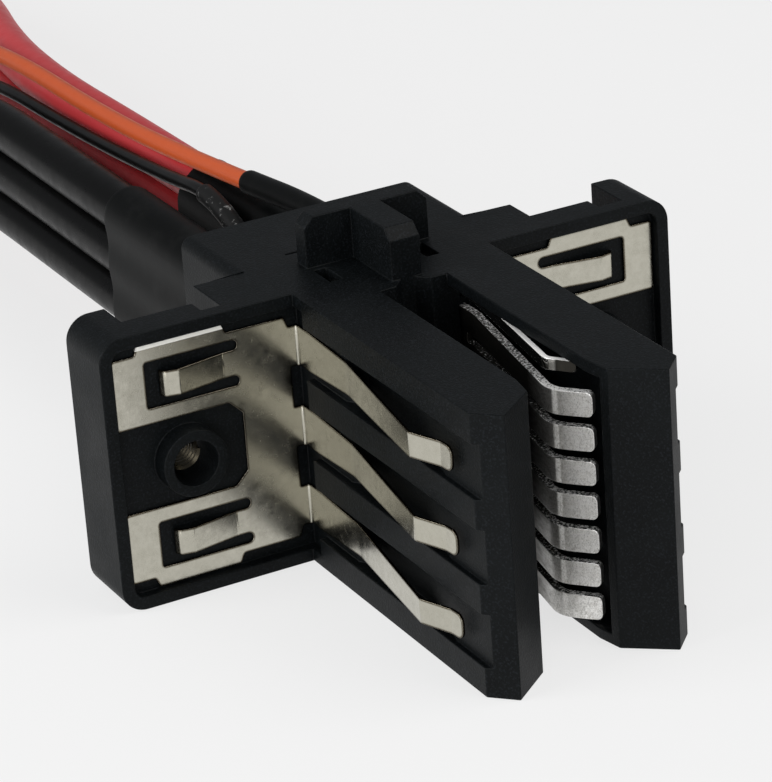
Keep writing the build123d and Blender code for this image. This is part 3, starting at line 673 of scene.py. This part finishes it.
def cable_sleeve(name, x, end, slant, node):
    """One sleeve: an oval drawn in between its cables, extruded to its cut end."""
    bpy.ops.object.select_all(action="DESELECT")
    bpy.ops.mesh.primitive_circle_add(vertices=SLEEVE_CORNERS, radius=SLEEVE_RADIUS)
    piece = bpy.context.active_object
    piece.name = name
    for vertex in piece.data.vertices:
        turn = math.atan2(vertex.co.y, vertex.co.x) + math.pi / SLEEVE_CORNERS
        side = SLEEVE_RADIUS * math.cos(turn)
        rise = SLEEVE_RADIUS * math.sin(turn)
        vertex.co = (x + side, SLEEVE_START, LEVEL + rise + math.copysign(STACK_HALF, rise))
    bpy.ops.object.mode_set(mode="EDIT")
    bpy.ops.mesh.select_all(action="DESELECT")
    bpy.ops.object.mode_set(mode="OBJECT")
    for edge in piece.data.edges:
        a, b = (piece.data.vertices[i].co for i in edge.vertices)
        edge.select = (a - b).length > STACK_HALF
    bpy.ops.object.mode_set(mode="EDIT")
    bpy.ops.mesh.select_mode(type="EDGE")
    bpy.ops.mesh.subdivide(number_cuts=WAIST_CUTS)
    bpy.ops.object.mode_set(mode="OBJECT")
    for vertex in piece.data.vertices:
        height = vertex.co.z - LEVEL
        if abs(height) < STACK_HALF:
            pull = SLEEVE_WAIST * math.sin(math.pi * height / STACK_HALF) ** 2
            vertex.co.x -= math.copysign(pull, vertex.co.x - x)
    open_mesh(piece)
    for run in SLEEVE_RUNS:
        step = run * (end - SLEEVE_START)
        bpy.ops.mesh.extrude_edges_move(TRANSFORM_OT_translate={"value": (0.0, step, 0.0)})
    close_mesh()
    # the cut end slants back smoothly over the top cable
    for vertex in piece.data.vertices:
        along = (vertex.co.y - SLEEVE_START) / (end - SLEEVE_START)
        high = min(max((vertex.co.z - LEVEL - 0.5 * STACK_HALF) / STACK_HALF, 0.0), 1.0)
        vertex.co.y -= slant * along ** 4 * high * high * (3 - 2 * high)
    wall = piece.modifiers.new("wall", "SOLIDIFY")
    wall.thickness = SLEEVE_WALL
    wall.offset = -1.0
    open_mesh(piece)
    bpy.ops.mesh.normals_make_consistent(inside=False)
    close_mesh()
    bpy.ops.object.modifier_apply(modifier=wall.name)
    rounded(piece, SLEEVE_LIP, LIP_STEPS, LIP_SHARPEST)
    dress(piece, shrink)
    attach(piece, "root")
    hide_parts(node)


cable_sleeve("black_stack_sleeve", -SLEEVE_X, BLACK_SLEEVE_END, 0.0, "black_sleeve")
cable_sleeve("red_stack_sleeve", SLEEVE_X, RED_SLEEVE_END, CUT_SLANT, "red_sleeve")

# Signal wires: an orange lead to the sense contact and a thinner black one beside it, both in
# vinyl, which run over the cables to a small two-way plug. A shrunk tube covers each wire where
# it leaves the rear cover, and the thin wire's tube is scuffed pale.
ORANGE = 2.8 * MM
THIN = 2.1 * MM
ORANGE_VINYL = "#BC5024"
THIN_BLACK = "#070707"
SCUFF_PALE = "#8C8C8A"
RUB_SIZE = 1.6 * MM
WIRE_TUBE_WALL = 0.45 * MM
WIRE_TUBE_LIP = 0.8 * WIRE_TUBE_WALL
WIRE_TUBE_NEAR = 0.02 * MM  # doubled corners along the tube are merged within this
ORANGE_TUBE_END = 66.35 * MM
THIN_TUBE_END = 72.6 * MM
ORANGE_ROUTE = (
    (0.0064, 0.03185, 0.0360), (0.0064, 0.04585, 0.0360), (0.0054, 0.06985, 0.0338),
    (0.0033, 0.10785, 0.0314), (0.0034, 0.15985, 0.0310), (0.0030, 0.20385, 0.0220),
    (0.0022, 0.24985, 0.0080), (0.0020, 0.29985, 0.0017), (0.0022, 0.34585, 0.0028),
)
THIN_ROUTE = (
    (0.0006, 0.03185, 0.0216), (0.0006, 0.04785, 0.0224), (0.0008, 0.06785, 0.0328),
    (0.0009, 0.08585, 0.0302), (0.0009, 0.11985, 0.0276), (0.0003, 0.15985, 0.0270),
    (-0.0014, 0.20585, 0.0140), (-0.0022, 0.25185, 0.0040), (-0.0022, 0.29985, 0.0014),
    (-0.0022, 0.34585, 0.0028),
)
orange_vinyl = insulation("orange vinyl, extruded", ORANGE_VINYL, 0.42, 0.4)
thin_vinyl = insulation("black vinyl, extruded", THIN_BLACK, 0.34, 0.2)
# The thin wire's tube was rubbed in handling, which leaves pale flecks on its matte black.
scuffed, tree, shader = new_material("polyolefin tube, scuffed", SHRINK_GREY, 0.5, Specular_IOR_Level=0.15)
rubs = noise(tree, object_place(tree), RUB_SIZE, 7.0, 0.75)
set_shader(shader, Base_Color=ramp(tree, rubs, ((0.57, linear(SHRINK_GREY)), (0.66, linear(SCUFF_PALE)))))


def share_at(piece, reach):
    """How much of a lead's length lies before a Y, read from its own smooth line."""
    bare = piece.copy()
    bare.data = piece.data.copy()
    bare.data.bevel_depth = 0.0
    line = bpy.data.meshes.new_from_object(bare)
    spots = [vertex.co.copy() for vertex in line.vertices]
    runs = [(b - a).length for a, b in zip(spots, spots[1:])]
    before = sum(run for run, spot in zip(runs, spots[1:]) if spot.y < reach)
    bpy.data.objects.remove(bare)
    return before / sum(runs)


def wire_tube(wire, name, start, end, made, node):
    """The shrunk tube over a stretch of a wire, made from the wire's own line."""
    data = wire.data.copy()
    data.bevel_depth += WIRE_TUBE_WALL
    data.bevel_factor_mapping_start = "SPLINE"
    data.bevel_factor_mapping_end = "SPLINE"
    data.bevel_factor_start = share_at(wire, start)
    data.bevel_factor_end = share_at(wire, end)
    piece = bpy.data.objects.new(name, data)
    bpy.context.scene.collection.objects.link(piece)
    pick(piece)
    bpy.ops.object.convert(target="MESH")
    open_mesh(piece)
    bpy.ops.mesh.remove_doubles(threshold=WIRE_TUBE_NEAR)
    close_mesh()
    rounded(piece, WIRE_TUBE_LIP, LIP_STEPS, LIP_SHARPEST)
    dress(piece, made)
    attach(piece, "root")
    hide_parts(node)
    return piece


PLUG_EDGE = 0.15 * MM
NYLON = "#0E0E0F"
# The plug is moulded in nylon, a little glossier than the housing, with the same fine grain.
nylon, tree, shader = new_material("black nylon, moulded", NYLON, 0.42, Specular_IOR_Level=0.4)
set_shader(shader, Normal=bump(tree, noise(tree, object_place(tree), GRAIN_SIZE, 2.0), 0.3, 0.03 * MM))
plug = softened("signal_plug", PLUG_EDGE)
dress(plug, nylon)

orange = lead("orange_lead", ORANGE_ROUTE, ORANGE, orange_vinyl)
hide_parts("orange_wire")
orange_tube = wire_tube(orange, "orange_wire_tube", COVER_BACK, ORANGE_TUBE_END, shrink, "orange_wire_shrink")
thin = lead("thin_black_lead", THIN_ROUTE, THIN, thin_vinyl)
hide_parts("black_wire")
thin_tube = wire_tube(thin, "thin_wire_tube", COVER_BACK, THIN_TUBE_END, scuffed, "black_wire_shrink")

# Setting: a pale paper floor that runs back out of sight, large soft boxes at the left, above
# at the right and in front, and a dim room. The object stands on the floor at Z = 0.
PAPER = "#F3F3F3"
FLOOR_GLOW = 0.8  # share of the floor's own pale colour that the camera and the metal see
FLOOR_SIZE = 8.0
FLOOR_GAP = 0.05 * MM  # so that no underside lies in the floor's own plane
ROOM_COLOUR = (0.93, 0.96, 1.0, 1.0)
ROOM_STRENGTH = 0.33
LAMP_TARGET = (0.0, 0.0, 0.02)
SOFT_BOXES = (  # name, place, width, power and colour
    ("left_box", (-0.75, 0.1, 0.4), 0.6, 4.6, (1.0, 1.0, 1.0)),
    ("top_box", (0.45, -0.4, 0.9), 0.7, 5.2, (1.0, 0.98, 0.95)),
    ("front_box", (-0.75, -0.85, 0.3), 0.6, 5.0, (1.0, 1.0, 1.0)),
)
bpy.ops.object.select_all(action="DESELECT")
bpy.ops.mesh.primitive_plane_add(size=FLOOR_SIZE, location=(0.0, 0.0, -FLOOR_GAP))
floor = bpy.context.active_object
floor.name = "paper_floor"
floor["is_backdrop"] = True
paper, tree, shader = new_material("white paper", PAPER, 0.9, Specular_IOR_Level=0.0)
lit = put(tree, "ShaderNodeEmission", {"Color": linear(PAPER), "Strength": 1.0})
ray = put(tree, "ShaderNodeLightPath").outputs
seen = maths(tree, "MAXIMUM", ray["Is Camera Ray"], ray["Is Glossy Ray"])
seen = maths(tree, "MAXIMUM", seen, ray["Is Transmission Ray"])
blend = put(tree, "ShaderNodeMixShader", {"Fac": maths(tree, "MULTIPLY", seen, FLOOR_GLOW),
                                          1: shader.outputs["BSDF"], 2: lit.outputs["Emission"]})
tree.links.new(blend.outputs["Shader"], tree.nodes["Material Output"].inputs["Surface"])
dress(floor, paper)

world = bpy.data.worlds.new("room")
bpy.context.scene.world = world
world.use_nodes = True
room = world.node_tree.nodes["Background"]
room.inputs["Color"].default_value = ROOM_COLOUR
room.inputs["Strength"].default_value = ROOM_STRENGTH

for name, spot, width, power, colour in SOFT_BOXES:
    lamp = bpy.data.lights.new(name, "AREA")
    lamp.shape = "SQUARE"
    lamp.size = width
    lamp.energy = power
    lamp.color = colour
    stand = bpy.data.objects.new(name, lamp)
    stand.location = spot
    aim = Vector(LAMP_TARGET) - Vector(spot)
    stand.rotation_euler = aim.to_track_quat("-Z", "Y").to_euler()
    bpy.context.scene.collection.objects.link(stand)

# Camera: a long lens from the front left and above, at the place, roll and lens that were
# fitted to the photograph, in millimetres about a point between the flange and the cover.
AZIMUTH = -26.732
ELEVATION = 23.675
ROLL = -4.041
TARGET = (0.0, -0.15, 20.0)
DISTANCE = 532.548
ASIDE = 3.976
ABOVE = -4.508
FOCAL_PIXELS = 3919.333
CENTRE_PIXEL = (406.863, 393.036)
FRAME_PIXELS = (772, 782)

turn = math.radians(AZIMUTH)
rise = math.radians(ELEVATION)
back = Vector((math.sin(turn) * math.cos(rise), -math.cos(turn) * math.cos(rise), math.sin(rise)))
level = Vector((math.cos(turn), math.sin(turn), 0.0))
plumb = back.cross(level)
roll = math.radians(ROLL)
right = math.cos(roll) * level + math.sin(roll) * plumb
upward = -math.sin(roll) * level + math.cos(roll) * plumb
eye = Vector(TARGET) + DISTANCE * back - ASIDE * right - ABOVE * upward
lens = bpy.data.cameras.new("camera")
lens.sensor_width = 36.0
lens.lens = FOCAL_PIXELS / max(FRAME_PIXELS) * lens.sensor_width
lens.shift_x = (FRAME_PIXELS[0] / 2 - CENTRE_PIXEL[0]) / max(FRAME_PIXELS)
lens.shift_y = (CENTRE_PIXEL[1] - FRAME_PIXELS[1] / 2) / max(FRAME_PIXELS)
lens.clip_start = 0.01
lens.clip_end = 20.0
camera = bpy.data.objects.new("camera", lens)
facing = Matrix((right, upward, back)).transposed().to_4x4()
camera.matrix_world = Matrix.Translation(eye * MM) @ facing
bpy.context.scene.collection.objects.link(camera)
bpy.context.scene.camera = camera
bpy.context.scene.view_settings.view_transform = "Standard"

low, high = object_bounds()
